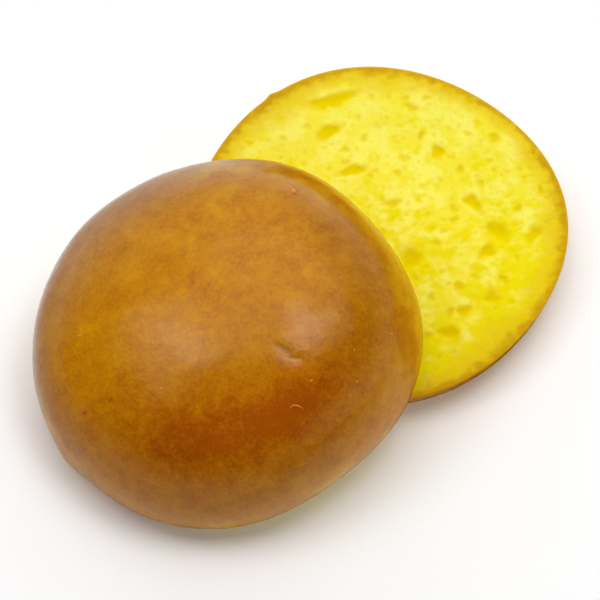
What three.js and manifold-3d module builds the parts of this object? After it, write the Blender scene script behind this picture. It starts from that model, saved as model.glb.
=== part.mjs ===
// A hamburger bun sliced in two. The heel lies with its cut face up. The crown leans on the heel's edge,
// dome up, with the far side of its own edge on the table.
// Millimetres, +Z up. The origin is on the table, under the middle of the two halves together.

import * as THREE from 'three';
import { mergeVertices } from 'three/addons/utils/BufferGeometryUtils.js';
import Module from 'manifold-3d';

const wasm = await Module();
wasm.setup();

const radians = THREE.MathUtils.degToRad;

// Heel: a cut face, a flat base, and a wall that still widens where the knife went through
const HEEL_RADIUS = 50.5;
const HEEL_THICKNESS = 12.3;
const HEEL_BASE_RADIUS = 40;
const HEEL_CUT_ANGLE = radians(22); // on the wall's arc, counted from the bun's widest ring

// Crown: a dome over its widest ring, and a short wall that turns in towards the cut face
const CROWN_RADIUS = 49.9;
const DOME_RISE = 32;
const DOME_FULLNESS = 2.2; // 2 is half an ellipse, and more is squarer
const CUT_DROP = 9;
const CUT_INSET = 2.2;

// How each half departs from a true round: waves round the edge, their depth, and where a crest points
const HEEL_WAVES = [
  { count: 2, depth: 1.2, crest: radians(85) },
  { count: 3, depth: 0.4, crest: radians(0) },
  { count: 4, depth: 0.55, crest: radians(10) },
];
const CROWN_WAVES = [
  { count: 2, depth: 0.92, crest: radians(17) },
  { count: 3, depth: 0.4, crest: radians(-3) },
  { count: 4, depth: 0.6, crest: radians(-12) },
  { count: 5, depth: 0.36, crest: radians(-11) },
];

// Lip: the crown's edge is squeezed out where it carries weight on the table
const LIP_DEPTH = 1.3;
const LIP_DIRECTION = radians(213);
const LIP_SPREAD = radians(7);
const LIP_HEIGHT = 10;

// Lean: how steep the crown's cut face is, which way it slopes down, and the gap left at the heel's edge
const LEAN = radians(14);
const LEAN_DIRECTION = radians(225);
const CONTACT_GAP = 0.3;

// Pucker: a short fold in the crust that runs down the side of the dome
const PUCKER = { direction: radians(326), polar: radians(28.5), length: 5, width: 1.7, depth: 0.7 };

// The largest bubbles that the knife opened in the heel's cut face, from the middle of that face
const HEEL_BUBBLES = [
  { x: -11.9, y: 41.4, length: 12, width: 4, turn: radians(12) },
  { x: -12.6, y: 31.8, length: 6, width: 4, turn: radians(25) },
  { x: -6.5, y: 19.2, length: 6.3, width: 3.4, turn: radians(20) },
  { x: 9.2, y: 39, length: 4, width: 2.4, turn: radians(-20) },
  { x: 16.2, y: 25.2, length: 3.9, width: 3.5, turn: 0 },
  { x: 31, y: 29.6, length: 3.2, width: 2.5, turn: radians(-60) },
  { x: 4, y: 8.8, length: 3.8, width: 2.5, turn: radians(5) },
  { x: 25.3, y: 9.1, length: 5.6, width: 3.3, turn: radians(-58) },
  { x: 31.7, y: 0.1, length: 6, width: 5, turn: radians(-30) },
  { x: 41.3, y: -0.2, length: 5, width: 3.6, turn: radians(75) },
  { x: 28.8, y: -6.1, length: 4.6, width: 3.3, turn: radians(70) },
  { x: 8.8, y: -8.3, length: 5.8, width: 5.2, turn: radians(30) },
  { x: 29.9, y: -20.1, length: 4.2, width: 3.7, turn: radians(40) },
  { x: 22.5, y: -24.4, length: 4, width: 3.4, turn: radians(20) },
  { x: 18.5, y: -31.1, length: 5.2, width: 4, turn: radians(-25) },
];

// The rest of the crumb's open bubbles are scattered over each cut face
const HEEL_SMALL_BUBBLES = 42;
const CROWN_LARGE_BUBBLES = 12;
const CROWN_SMALL_BUBBLES = 40;
const LARGE_BUBBLE_LENGTHS = [3.4, 6];
const SMALL_BUBBLE_LENGTHS = [1.4, 2.8];
const BUBBLE_WIDTH_SHARES = [0.6, 0.95]; // width over length
const BUBBLE_DEPTH_SHARE = 0.42; // depth over width
const BUBBLE_CENTRE_SHARE = 0.2; // how far a bubble's middle lies outside the face, over its depth
const BUBBLE_SPACING = 0.8; // crumb left between two bubbles
const CRUST_MARGIN = 4.5; // crumb left between a bubble and the crust
const HEEL_SEED = 7;
const CROWN_SEED = 23;

// Facets
const SIDES_ROUND = 90;
const DOME_RINGS = 15;
const WALL_RINGS = 6;
const BUBBLE_SIDES = 9;
const BUBBLE_RINGS = 6;
const MERGE_DISTANCE = 1e-4;
const HEIGHT_TOLERANCE = 1e-3;
const SLOPE_STEP = radians(0.5);

const CRUST_COLOUR = 0xb0701c;
const CRUMB_COLOUR = 0xf5e23c;

// Seeded numbers from 0 to 1, the same on each run
function seededNumbers(seed) {
  let state = seed;
  return () => {
    state = (Math.imul(state, 1664525) + 1013904223) >>> 0;
    return state / 2 ** 32;
  };
}

// How far the edge stands out beyond its mean radius in one direction
function edgeOffset(waves, direction) {
  return waves.reduce((sum, wave) => sum + wave.depth * Math.cos(wave.count * (direction - wave.crest)), 0);
}

// How far the lip stands out, at a height over the crown's cut face
function lipOffset(direction, height) {
  const turn = Math.atan2(Math.sin(direction - LIP_DIRECTION), Math.cos(direction - LIP_DIRECTION));
  return LIP_DEPTH * Math.exp(-((turn / LIP_SPREAD) ** 2) - (height / LIP_HEIGHT) ** 2);
}

// Half section of the heel, from the middle of its base to the middle of its cut face
function heelSection() {
  const reach = (HEEL_RADIUS - HEEL_BASE_RADIUS) / Math.cos(HEEL_CUT_ANGLE);
  const drop = HEEL_THICKNESS / (1 - Math.sin(HEEL_CUT_ANGLE));
  const points = [new THREE.Vector2(0, 0)];
  for (let ring = 0; ring <= WALL_RINGS; ring += 1) {
    const angle = THREE.MathUtils.lerp(Math.PI / 2, HEEL_CUT_ANGLE, ring / WALL_RINGS);
    points.push(new THREE.Vector2(HEEL_BASE_RADIUS + reach * Math.cos(angle), drop * (1 - Math.sin(angle))));
  }
  points.push(new THREE.Vector2(0, HEEL_THICKNESS));
  return points;
}

// A point of the dome's half section: 0 is the top and a right angle is the widest ring
function domePoint(polar) {
  const power = 2 / DOME_FULLNESS;
  const radius = CROWN_RADIUS * Math.sin(polar) ** power;
  return new THREE.Vector2(radius, CUT_DROP + DOME_RISE * Math.max(0, Math.cos(polar)) ** power);
}

// Half section of the crown, from the middle of its cut face to the top of its dome
function crownSection() {
  const points = [new THREE.Vector2(0, 0)];
  for (let ring = WALL_RINGS; ring > 0; ring -= 1) {
    const down = ring / WALL_RINGS;
    points.push(new THREE.Vector2(CROWN_RADIUS - CUT_INSET * down ** 2, CUT_DROP * (1 - down)));
  }
  for (let ring = DOME_RINGS; ring > 0; ring -= 1) {
    points.push(domePoint((Math.PI / 2) * (ring / DOME_RINGS)));
  }
  points.push(new THREE.Vector2(0, CUT_DROP + DOME_RISE));
  return points;
}

// Turns a half section about +Z, then pushes each point out or in by the offset of its direction and height
function turnUneven(section, radius, offset) {
  const geometry = new THREE.LatheGeometry(section, SIDES_ROUND).rotateX(Math.PI / 2);
  const position = geometry.getAttribute('position');
  for (let index = 0; index < position.count; index += 1) {
    const direction = Math.atan2(position.getY(index), position.getX(index));
    const scale = 1 + offset(direction, position.getZ(index)) / radius;
    position.setX(index, position.getX(index) * scale);
    position.setY(index, position.getY(index) * scale);
  }
  return geometry;
}

// A closed geometry as a solid that can be cut
function toSolid(geometry) {
  const bare = geometry.clone();
  bare.deleteAttribute('normal');
  bare.deleteAttribute('uv');
  const merged = mergeVertices(bare, MERGE_DISTANCE);
  return new wasm.Manifold(
    new wasm.Mesh({
      numProp: 3,
      vertProperties: new Float32Array(merged.getAttribute('position').array),
      triVerts: new Uint32Array(merged.getIndex().array),
    }),
  );
}

function toGeometry(solid) {
  const mesh = solid.getMesh();
  const geometry = new THREE.BufferGeometry();
  geometry.setAttribute('position', new THREE.BufferAttribute(mesh.vertProperties, 3));
  geometry.setIndex(new THREE.BufferAttribute(mesh.triVerts, 1));
  geometry.computeVertexNormals();
  return geometry;
}

// An ellipsoid of that length, width and depth, turned and set in place
function ellipsoid(length, width, depth, quaternion, centre) {
  const size = new THREE.Vector3(length / 2, width / 2, depth);
  const place = new THREE.Matrix4().compose(centre, quaternion, size);
  return new THREE.SphereGeometry(1, BUBBLE_SIDES, BUBBLE_RINGS).rotateX(Math.PI / 2).applyMatrix4(place);
}

// One opened bubble, in a cut face at the given height that looks up (outward 1) or down (outward -1)
function bubbleCutter(bubble, height, outward) {
  const depth = bubble.width * BUBBLE_DEPTH_SHARE;
  const centre = new THREE.Vector3(bubble.x, bubble.y, height + outward * depth * BUBBLE_CENTRE_SHARE);
  const quaternion = new THREE.Quaternion().setFromAxisAngle(new THREE.Vector3(0, 0, 1), bubble.turn);
  return ellipsoid(bubble.length, bubble.width, depth, quaternion, centre);
}

// Adds scattered bubbles to a list, each clear of the crust and of those already there
function scatterBubbles(bubbles, count, lengths, faceRadius, random) {
  const wanted = bubbles.length + count;
  const between = (range) => THREE.MathUtils.lerp(range[0], range[1], random());
  while (bubbles.length < wanted) {
    const length = between(lengths);
    const reach = (faceRadius - CRUST_MARGIN - length / 2) * Math.sqrt(random());
    const direction = 2 * Math.PI * random();
    const bubble = {
      x: reach * Math.cos(direction),
      y: reach * Math.sin(direction),
      length,
      width: length * between(BUBBLE_WIDTH_SHARES),
      turn: Math.PI * random(),
    };
    const clear = bubbles.every((other) => {
      const apart = Math.hypot(other.x - bubble.x, other.y - bubble.y);
      return apart > (other.length + bubble.length) / 2 + BUBBLE_SPACING;
    });
    if (clear) {
      bubbles.push(bubble);
    }
  }
  return bubbles;
}

function cutAll(solid, cutters) {
  return cutters.reduce((rest, cutter) => rest.subtract(toSolid(cutter)), solid);
}

// The pucker's cutter lies in the dome's surface, with its length down the slope
function puckerCutter() {
  const surface = (polar) => {
    const point = domePoint(polar);
    const scale = 1 + edgeOffset(CROWN_WAVES, PUCKER.direction) / CROWN_RADIUS;
    const out = point.x * scale;
    return new THREE.Vector3(out * Math.cos(PUCKER.direction), out * Math.sin(PUCKER.direction), point.y);
  };
  const centre = surface(PUCKER.polar);
  const down = surface(PUCKER.polar + SLOPE_STEP).sub(surface(PUCKER.polar - SLOPE_STEP)).normalize();
  const along = new THREE.Vector3(-Math.sin(PUCKER.direction), Math.cos(PUCKER.direction), 0);
  const outward = down.clone().cross(along).normalize();
  const frame = new THREE.Matrix4().makeBasis(down, along, outward);
  const quaternion = new THREE.Quaternion().setFromRotationMatrix(frame);
  return ellipsoid(PUCKER.length, PUCKER.width, PUCKER.depth, quaternion, centre);
}

function makeHeel() {
  const round = turnUneven(heelSection(), HEEL_RADIUS, (direction) => edgeOffset(HEEL_WAVES, direction));
  const random = seededNumbers(HEEL_SEED);
  const seen = [...HEEL_BUBBLES];
  const bubbles = scatterBubbles(seen, HEEL_SMALL_BUBBLES, SMALL_BUBBLE_LENGTHS, HEEL_RADIUS, random);
  const cutters = bubbles.map((bubble) => bubbleCutter(bubble, HEEL_THICKNESS, 1));
  const material = new THREE.MeshStandardMaterial({ color: CRUMB_COLOUR, roughness: 0.95, metalness: 0 });
  const heel = new THREE.Mesh(toGeometry(cutAll(toSolid(round), cutters)), material);
  heel.name = 'heel';
  return heel;
}

function makeCrown() {
  const offset = (direction, height) => edgeOffset(CROWN_WAVES, direction) + lipOffset(direction, height);
  const round = turnUneven(crownSection(), CROWN_RADIUS, offset);
  const faceRadius = CROWN_RADIUS - CUT_INSET;
  const random = seededNumbers(CROWN_SEED);
  const large = scatterBubbles([], CROWN_LARGE_BUBBLES, LARGE_BUBBLE_LENGTHS, faceRadius, random);
  const bubbles = scatterBubbles(large, CROWN_SMALL_BUBBLES, SMALL_BUBBLE_LENGTHS, faceRadius, random);
  const cutters = bubbles.map((bubble) => bubbleCutter(bubble, 0, -1));
  const solid = cutAll(toSolid(round), [...cutters, puckerCutter()]);
  const material = new THREE.MeshStandardMaterial({ color: CRUST_COLOUR, roughness: 0.38, metalness: 0 });
  const crown = new THREE.Mesh(toGeometry(solid), material);
  crown.name = 'crown';
  return crown;
}

// The furthest that one half reaches along the lean, among its points at one height
function reachAlongLean(half, height) {
  const position = half.geometry.getAttribute('position');
  let reach = 0;
  for (let index = 0; index < position.count; index += 1) {
    if (Math.abs(position.getZ(index) - height) < HEIGHT_TOLERANCE) {
      const acrossX = position.getX(index) * Math.cos(LEAN_DIRECTION);
      const acrossY = position.getY(index) * Math.sin(LEAN_DIRECTION);
      reach = Math.max(reach, acrossX + acrossY);
    }
  }
  return reach;
}

// Leans the crown: its low edge comes to the table, and its cut face passes just over the heel's edge
function leanCrown(crown, heel) {
  const lift = reachAlongLean(crown, 0) * Math.sin(LEAN);
  const beyondHeel = (HEEL_THICKNESS + CONTACT_GAP - lift) / Math.tan(LEAN);
  const away = reachAlongLean(heel, HEEL_THICKNESS) + beyondHeel;
  crown.position.set(away * Math.cos(LEAN_DIRECTION), away * Math.sin(LEAN_DIRECTION), lift);
  const hinge = new THREE.Vector3(-Math.sin(LEAN_DIRECTION), Math.cos(LEAN_DIRECTION), 0);
  crown.setRotationFromAxisAngle(hinge, LEAN);
}

const bun = new THREE.Group();
const heel = makeHeel();
const crown = makeCrown();
leanCrown(crown, heel);
bun.add(heel, crown);

// The origin goes under the middle of the whole bun
const box = new THREE.Box3().setFromObject(bun, true);
const middle = box.getCenter(new THREE.Vector3());
bun.position.set(-middle.x, -middle.y, -box.min.z);
bun.updateMatrixWorld(true);

export default bun;
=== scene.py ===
"""Dresses a sliced hamburger bun: the leaning crown, the heel with its open crumb, and their table.

Everything is in metres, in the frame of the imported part.
"""

import itertools
import math

import bpy
import numpy as np
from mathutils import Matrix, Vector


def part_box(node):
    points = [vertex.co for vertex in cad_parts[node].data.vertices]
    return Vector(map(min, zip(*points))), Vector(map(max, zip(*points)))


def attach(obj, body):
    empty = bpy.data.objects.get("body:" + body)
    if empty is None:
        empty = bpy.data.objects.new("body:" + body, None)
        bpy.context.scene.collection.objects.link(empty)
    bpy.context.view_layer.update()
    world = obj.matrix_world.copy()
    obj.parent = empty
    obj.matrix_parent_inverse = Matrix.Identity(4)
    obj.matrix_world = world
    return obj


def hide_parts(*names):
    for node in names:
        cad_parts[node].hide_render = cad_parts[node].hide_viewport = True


bl_info = {
    "name": "Sliced hamburger bun",
    "version": (1, 0, 0),
    "blender": (4, 5, 0),
    "location": "3D View > Sidebar > Bun",
    "description": "Makes the two halves of a hamburger bun, the flecks on its crust and a table",
    "category": "Add Mesh",
}

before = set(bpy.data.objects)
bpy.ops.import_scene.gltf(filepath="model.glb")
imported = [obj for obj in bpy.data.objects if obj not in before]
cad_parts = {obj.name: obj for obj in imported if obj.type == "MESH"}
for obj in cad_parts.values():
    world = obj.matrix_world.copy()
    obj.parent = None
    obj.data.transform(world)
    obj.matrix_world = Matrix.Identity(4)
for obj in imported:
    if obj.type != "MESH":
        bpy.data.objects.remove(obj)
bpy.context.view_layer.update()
HEEL_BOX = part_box("heel")
HEEL_THICKNESS = HEEL_BOX[1].z - HEEL_BOX[0].z

MM = 0.001
BODY = "root"

# Cells along each side of a half's two grids, of a fleck's two grids and of the noise's cube of values
GRID_CELLS = 216
FLECK_CELLS = 10
NOISE_CELLS = 48
# Steps along a section, down the crown's low wall and along a fleck, and the angle to take a slope over
SECTION_STEPS = 2000
WALL_STEPS = SECTION_STEPS // 4
FLECK_STEPS = 200
SLOPE_STEP = math.radians(0.5)

# How each half departs from a true round: waves round the edge, their depth, and where a crest points
HEEL_WAVES = [(2, 1.2 * MM, math.radians(85)), (3, 0.4 * MM, 0.0), (4, 0.55 * MM, math.radians(10))]
CROWN_WAVES = [
    (2, 0.92 * MM, math.radians(17)),
    (3, 0.4 * MM, math.radians(-3)),
    (4, 0.6 * MM, math.radians(-12)),
    (5, 0.36 * MM, math.radians(-11)),
]

# Lip: the crown's edge is squeezed out where it carries weight on the table
LIP_DEPTH = 1.3 * MM
LIP_DIRECTION = math.radians(213)
LIP_SPREAD = math.radians(7)
LIP_HEIGHT = 10 * MM

# Nub: a crumb that the knife pushed out at the heel's edge
NUB_DEPTH = 0.6 * MM
NUB_DIRECTION = math.radians(123)
NUB_SPREAD = math.radians(1.6)

# Pucker: two folds in the crust that run down the side of the dome, with a knob on one side and a
# swelling on the other. Places are down the slope and along the level, from the first fold's middle.
# The grooves' painted shade lies on one flank.
PUCKER_DIRECTION = math.radians(324.5)
PUCKER_POLAR = math.radians(27.5)
PUCKER_DEPTH = 0.1 * MM
PUCKER_SHADE = 0.44
PUCKER_SHADE_SHIFT = 0.45 * MM
# Each fold's place, turn, length, width, bend and share of the depth
PUCKER_FOLDS = [
    (0.0, 0.0, 0.0, 5.4 * MM, 1.8 * MM, -0.05 / MM, 1.0),
    (3.9 * MM, -0.15 * MM, math.radians(33), 3.4 * MM, 1.4 * MM, 0.0, 0.8),
]
# Place, spread and height of the knob and the swelling
PUCKER_KNOB = (1.1 * MM, -5.6 * MM, 4.8 * MM, 0.25 * MM)
PUCKER_SWELLING = (0.8 * MM, 4.0 * MM, 4.4 * MM, 0.08 * MM)

# Low relief of the crust: spacing of the swellings and their height
CRUST_RELIEF = [(19 * MM, 0.28 * MM), (7.5 * MM, 0.11 * MM), (2.8 * MM, 0.04 * MM)]
# Low relief of a cut face
CRUMB_RELIEF = [(14 * MM, 0.25 * MM), (3.6 * MM, 0.09 * MM), (1.5 * MM, 0.05 * MM)]
# How far from the cut the crown's crust and a cut face reach their full relief
CRUST_FADE = 2 * MM
CRUMB_FADE = 2.5 * MM
# How fast the relief of the heel's wall comes in above the base and goes out below the cut
HEEL_FADE_IN = 4
HEEL_FADE_OUT = 6

# The crumb is more golden towards one side, in clouds: at the middle, and by how much more at the rim
GOLDEN_DIRECTION = math.radians(-60)
GOLDEN_MIDDLE = 0.5
GOLDEN_SLOPE = 0.6
GOLDEN_CLOUDS = [(11 * MM, 0.3), (4.5 * MM, 0.25)]

# Painted shade: the heel's crumb is darker on the crown's side, where the crown keeps light off it. By how
# much, and how far before the middle that starts
CROWN_SHADE = 0.06
CROWN_SHADE_REACH = 20 * MM

# The browned rim of a cut face is wider on two opposite sides, and uneven
WIDE_RIM_DIRECTION = math.radians(122)
WIDE_RIM = 0.22
RIM_NOISE = 0.45
RIM_NOISE_SPACING = 9 * MM

# The crown's browning, and how much paler its low wall is, up to a share of the widest ring's height
BROWNING = 0.32
PALE_WALL = 0.1
PALE_WALL_REACH = 1.3
# The heel's browning at the base, and how much more it has at the cut
HEEL_BASE_BROWNING = -0.02
HEEL_WALL_BROWNING = 0.25

# Patches of the crown's crust that are browner, and that are darker or lighter, the latter partly its own
# tone and partly painted shade and painted light: each one's direction and angle down from the top,
# the spread of both in degrees, and its strength
BROWNED_PATCHES = [
    (268, 42, 29, 14, 0.63),
    (306, 44.5, 24, 12.5, 0.66),
    (238, 52, 30, 18, 0.26),
    (335, 48, 24, 12, 0.22),
    (300, 64, 35, 9, 0.2),
    (70, 28, 40, 14, -0.06),
    (20, 74, 48, 11, -0.18),
    (65, 58, 27, 11, -0.22),
    (75, 46, 26, 13, -0.08),
    (198, 40, 22, 14, -0.06),
    (135, 60, 30, 8, -0.12),
    (205, 80, 25, 10, -0.15),
    (285, 92, 75, 10, -0.1),
    (320, 55, 13, 7, 0.2),
    (346, 44, 12, 8, 0.1),
    (294, 18, 35, 7, 0.1),
    (251, 57, 18, 8, 0.1),
    (176, 15, 40, 8, -0.08),
]
SHADE_AND_TONE_PATCHES = [
    (115, 58, 60, 24, 0.5),
    (12, 55, 36, 16, 0.26),
    (188, 72, 30, 16, 0.18),
    (290, 71, 60, 20, 0.13),
    (335, 48, 20, 9, 0.08),
    (35, 43, 22, 11, 0.08),
    (257, 50, 16, 9, 0.1),
    (270, 77, 40, 9, 0.05),
    (345, 84, 25, 12, -0.14),
    (68, 64, 25, 9, -0.07),
    (200, 50, 24, 18, -0.09),
    (350, 38, 18, 11, 0.07),
    (55, 20, 65, 9, 0.05),
    (148, 30, 14, 9, 0.05),
    (294, 18, 30, 7, 0.05),
    (222, 41, 14, 9, 0.05),
]
# Dark specks of burnt crust: direction and angle down from the top in degrees
SPECKS = [(222, 41), (216, 53)]
SPECK_RADIUS = 0.7 * MM

# The largest bubbles that the knife opened in the heel: x, y, length, width in mm, and turn in degrees
HEEL_BUBBLES = [
    (-11.9, 41.4, 12, 4, 12),
    (-12.6, 31.8, 6, 4, 25),
    (-6.5, 19.2, 6.3, 3.4, 20),
    (9.2, 39, 4, 2.4, -20),
    (16.2, 25.2, 3.9, 3.5, 0),
    (31, 29.6, 3.2, 2.5, -60),
    (4, 8.8, 3.8, 2.5, 5),
    (25.3, 9.1, 5.6, 3.3, -58),
    (31.7, 0.1, 6, 5, -30),
    (41.3, -0.2, 5, 3.6, 75),
    (28.8, -6.1, 4.6, 3.3, 70),
    (8.8, -8.3, 5.8, 5.2, 30),
    (29.9, -20.1, 4.2, 3.7, 40),
    (22.5, -24.4, 4, 3.4, 20),
    (18.5, -31.1, 5.2, 4, -25),
]

# Smaller ones that show as faint spots: x, y, length and width in mm
HEEL_SPOTS = [
    (-8.2, 21.8, 2.6, 1.9),
    (-18.7, 33.2, 2.1, 1.9),
    (-24.8, 29.4, 2.1, 1.9),
    (-33.8, 27.8, 2.4, 1.9),
    (-19.3, 21.2, 2.1, 1.6),
    (7.6, 41.8, 2.4, 1.9),
    (9.5, 45.0, 2.4, 1.6),
    (13.2, 42.1, 2.1, 1.9),
    (7.7, 23.4, 2.1, 1.9),
    (27.2, 15.2, 2.1, 2.2),
    (43.2, 13.0, 1.8, 2.8),
    (37.3, 7.4, 2.4, 2.2),
    (19.9, 3.6, 2.6, 2.2),
    (17.3, 0.2, 2.1, 1.9),
    (15.4, -3.5, 2.4, 2.2),
    (33.3, -14.7, 2.4, 2.8),
    (21.3, -16.9, 2.6, 2.5),
    (13.9, -20.3, 2.4, 2.2),
    (18.8, -24.9, 2.3, 2.5),
    (13.0, -31.9, 2.3, 2.5),
    (-8.4, 25.9, 2.1, 2.2),
    (5.3, 18.4, 2.1, 2.2),
    (-1.8, 17.4, 1.6, 1.9),
    (-0.2, 33.2, 3.2, 1.6),
    (11.7, 30.0, 1.6, 2.5),
]

# Scattered bubbles: the first groups are those of the solids, and the last one is finer crumb
HEEL_SMALL_BUBBLES = 42
CROWN_LARGE_BUBBLES = 12
CROWN_SMALL_BUBBLES = 40
FINE_BUBBLES = 420
LARGE_BUBBLE_LENGTHS = (3.4 * MM, 6 * MM)
SMALL_BUBBLE_LENGTHS = (1.4 * MM, 2.8 * MM)
FINE_BUBBLE_LENGTHS = (0.8 * MM, 1.9 * MM)
BUBBLE_WIDTH_SHARES = (0.6, 0.95)
BUBBLE_TRIES = 60
# Room that a scattered bubble keeps to the others and to the crust
BUBBLE_ROOM = (0.8 * MM, 4.5 * MM)
FINE_ROOM = (0.2 * MM, 1.5 * MM)

# A bubble's outline wavers in two and in three lobes, and noise makes it ragged, as shares of its radius
TWO_LOBES = 0.14
THREE_LOBES = 0.12
RAGGED_EDGE = 0.22
RAGGED_SPACING = 1.4 * MM
# A bubble's depth over its width, and where its hollow starts, over its radius
BUBBLE_DEPTH_SHARE = 0.15
HOLLOW_REACH = 1.3
# Where a bubble's painted shade starts, how much further out in a wide one, and over what it eases in
PORE_SHADE_REACH = 1.4
WIDE_PORE_SHADE = 0.2
PORE_SHADE_EASE = 0.95
# How strong that painted shade is in the narrowest bubbles, their width, and how much wider the wide ones
# are
NARROW_PORE_SHADE = 0.3
NARROW_WIDTH = 1 * MM
WIDENING = 2.2 * MM

# Seeds of the scattered bubbles and of the noise, and what is added for a half's further noise
HEEL_SEED = 7
CROWN_SEED = 23
FINE_SEED = 91
CROWN_FINE_SEED = FINE_SEED + 1
RIM_SEED_STEP = 5
GOLDEN_SEED_STEP = 6
CRUST_SEED_STEP = 20

# How thick a fleck's lower side is, over its upper one
FLECK_UNDERSIDE = 0.5
# Flecks of crumb and flour that stick to the crown: direction and angle down from the top in degrees,
# length, width and height in mm, turn in degrees, and how much the fleck curls
FLECKS = [
    (55, 49, 2.0, 1.2, 0.5, 40, 0.3),
    (308.5, 46.3, 4.2, 0.32, 0.12, 255, -1.83),
    (320.5, 42.5, 0.9, 0.5, 0.15, 20, 0.4),
    (331, 57, 0.8, 0.45, 0.15, 10, 0.4),
    (340.5, 49, 0.7, 0.45, 0.12, 10, 0.4),
    (166, 13, 0.8, 0.5, 0.12, 30, 0.4),
    (188, 40, 1.6, 0.5, 0.12, 85, 0.5),
    (243, 28, 0.9, 0.5, 0.12, 0, 0.4),
    (254, 25, 0.7, 0.4, 0.12, 50, 0.4),
    (351, 63, 1.0, 0.5, 0.12, 80, 0.4),
]

# Noise of the materials: spacing, then detail, roughness and distortion where they aren't the usual ones
CRUST_CLOUDS = (9 * MM, 2.0)
CRUST_MOTTLE = (3.2 * MM, 4.0, 0.62)
CRUST_GRAIN = (0.9 * MM, 3.0, 0.68)
CRUST_WRINKLES = (1.8 * MM, 2.0, 0.5, 1.2)
CRUMB_CLOUDS = (7 * MM, 3.0, 0.6)
CRUMB_CELLS = (3.2 * MM, 1.5, 0.5)
CRUMB_GRAIN = (1.0 * MM, 2.0, 0.5)
FLECK_PATCHES = (0.6 * MM,)
TABLE_PATCHES = (40 * MM,)
NOISE_MIDDLE = 0.5
# Numbers of a Mix node's sockets for colours
MIX_COLOURS = (6, 7)
MIX_RESULT = 2

# Crust: how far noise spreads the browning, and the browning over which each colour comes in
CLOUD_BROWNING = 0.8
MOTTLE_BROWNING = 0.7
GRAIN_BROWNING = 0.95
GOLD_CRUST = (-0.15, 0.25)
BROWN_CRUST = (0.05, 0.75)
DARK_CRUST = (0.6, 1.15)
# The noise over which the crust's lightness changes, and the lightness at both ends
GRAIN_TONES = (0.2, 0.8, 1.06, 0.94)
MOTTLE_TONES = (0.3, 0.7, 1.05, 0.95)
# The crust's least roughness, what its mottling adds, and the heights of its bumps
LEAST_ROUGHNESS = 0.08
MOTTLE_ROUGHNESS = 0.1
MOTTLE_BUMP = 0.04 * MM
WRINKLE_BUMP = 0.06 * MM
GRAIN_BUMP = 0.05 * MM

# Crumb: how far noise spreads the golden share, and the distance from the crust in mm
CELL_GOLDEN = 2.0
CELL_DISTANCE = 4.5
GRAIN_DISTANCE = 1.2
# The value over which each colour comes in, and its share at both ends if not 0 and 1
LIGHT_CRUMB = (0.38, 0.62)
GOLD_CRUMB = (0.3, 1.1)
# Painted shade of the finest pores, from the grain
FINE_PORE_SHADE = (0.55, 0.8, 0.0, 0.35)
WARM_CRUMB = (8.5, 2.2, 0.0, 0.9)
CRUMB_EDGE = (3.1, 0.2)
# Heights of the crumb's bumps
CELL_BUMP = 0.12 * MM
CRUMB_GRAIN_BUMP = 0.08 * MM

# The noise over which a fleck is browned
BROWNED_FLECK = (0.3, 0.7)

# Table: half its width, its own faint glow, its whites, and how far above it the mirrored sheet lies
TABLE_HALF = 2.0
TABLE_GLOW = 0.13
TABLE_WHITES = ((0.89, 0.89, 0.89), (0.91, 0.91, 0.91))
SHEET_LIFT = 0.05 * MM
# Places in metres over which the mirrored sheet fades in, and its strength at both ends if not 0 and 1
FRONT_Y = (-0.9, -0.06)
THIS_SIDE_X = (0.02, -0.04)
THIS_SIDE_Y = (-0.015, -0.055)
LEFT_X = (-0.22, -0.05, 0.45)
LEFT_Y = (-0.03, 0.1)
RIGHT_X = (0.12, -0.02)
RIGHT_Y = (-0.2, -0.08)
SHEET_GLOW_Y = (0.05, 0.2, 0.05, 0.7)

# Soft panels over the table: name, place and size over the lamp height, turn in degrees, radiance, and
# whether the crust mirrors it. Each hangs a step higher than the one before.
PANELS = [
    ("wide_panel", 0.12, 0.305, 1.0, 0.85, 0, 0.8, True),
    ("far_left_panel", -0.87, -0.1, 0.5, 0.65, 20, 1.2, True),
    ("left_panel", -0.5, -0.01, 0.32, 0.42, 26, 3.2, True),
    ("right_panel", 0.3, -0.095, 0.33, 0.41, 0, 3.7, True),
    ("far_right_panel", 0.62, 0.0, 0.36, 0.5, 0, 0.8, True),
    ("fill_panel", 0.05, 0.0, 0.6, 0.6, 0, 2.45, False),
]
PANEL_STEP = 0.005
# Watts that a square metre of panel needs for a radiance of 1
PANEL_POWER = 4

# Room: x, y or z of a direction over which each part of its light fades in, and the strength at both ends
# if not 0 and 1. It glows low behind the bun, is dimmer beside it and has a faint skirt low in front.
BEHIND_Y = (0.15, 0.85)
FAR_WALL = 0.85
FAR_WALL_GLOW = 1.15
GLOW_X = (0.7, 0.3)
GLOW_Z = (0.5, 0.0)
BESIDE_X = (0.4, 0.95)
BESIDE_LOW_Z = (-0.05, 0.15, 0.4)
BESIDE_HIGH_Z = (0.6, 0.2, 0.0, 0.95)
# The room is dark low over the heel, under a line that slopes down towards the back
OVER_HEEL_X = (0.35, 0.75)
OVER_HEEL_Y = (0.1, 0.3)
OVER_HEEL_SLOPE = 0.4
OVER_HEEL_TOP = (0.25, 0.38)
SKIRT_Y = (0.1, -0.2)
SKIRT_Z = (0.15, 0.0, 0.0, 0.3)
DIMMEST = 0.03
HORIZON_Z = (-0.05, 0.0)

# How far the camera sees
CAMERA_REACH = 100.0


def length_property(name, description, default):
    """A length in metres."""
    return bpy.props.FloatProperty(
        name=name, description=description, default=default, subtype="DISTANCE", unit="LENGTH"
    )


def angle_property(name, description, degrees):
    """An angle given in degrees."""
    return bpy.props.FloatProperty(
        name=name,
        description=description,
        default=math.radians(degrees),
        subtype="ANGLE",
        unit="ROTATION",
    )


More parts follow.
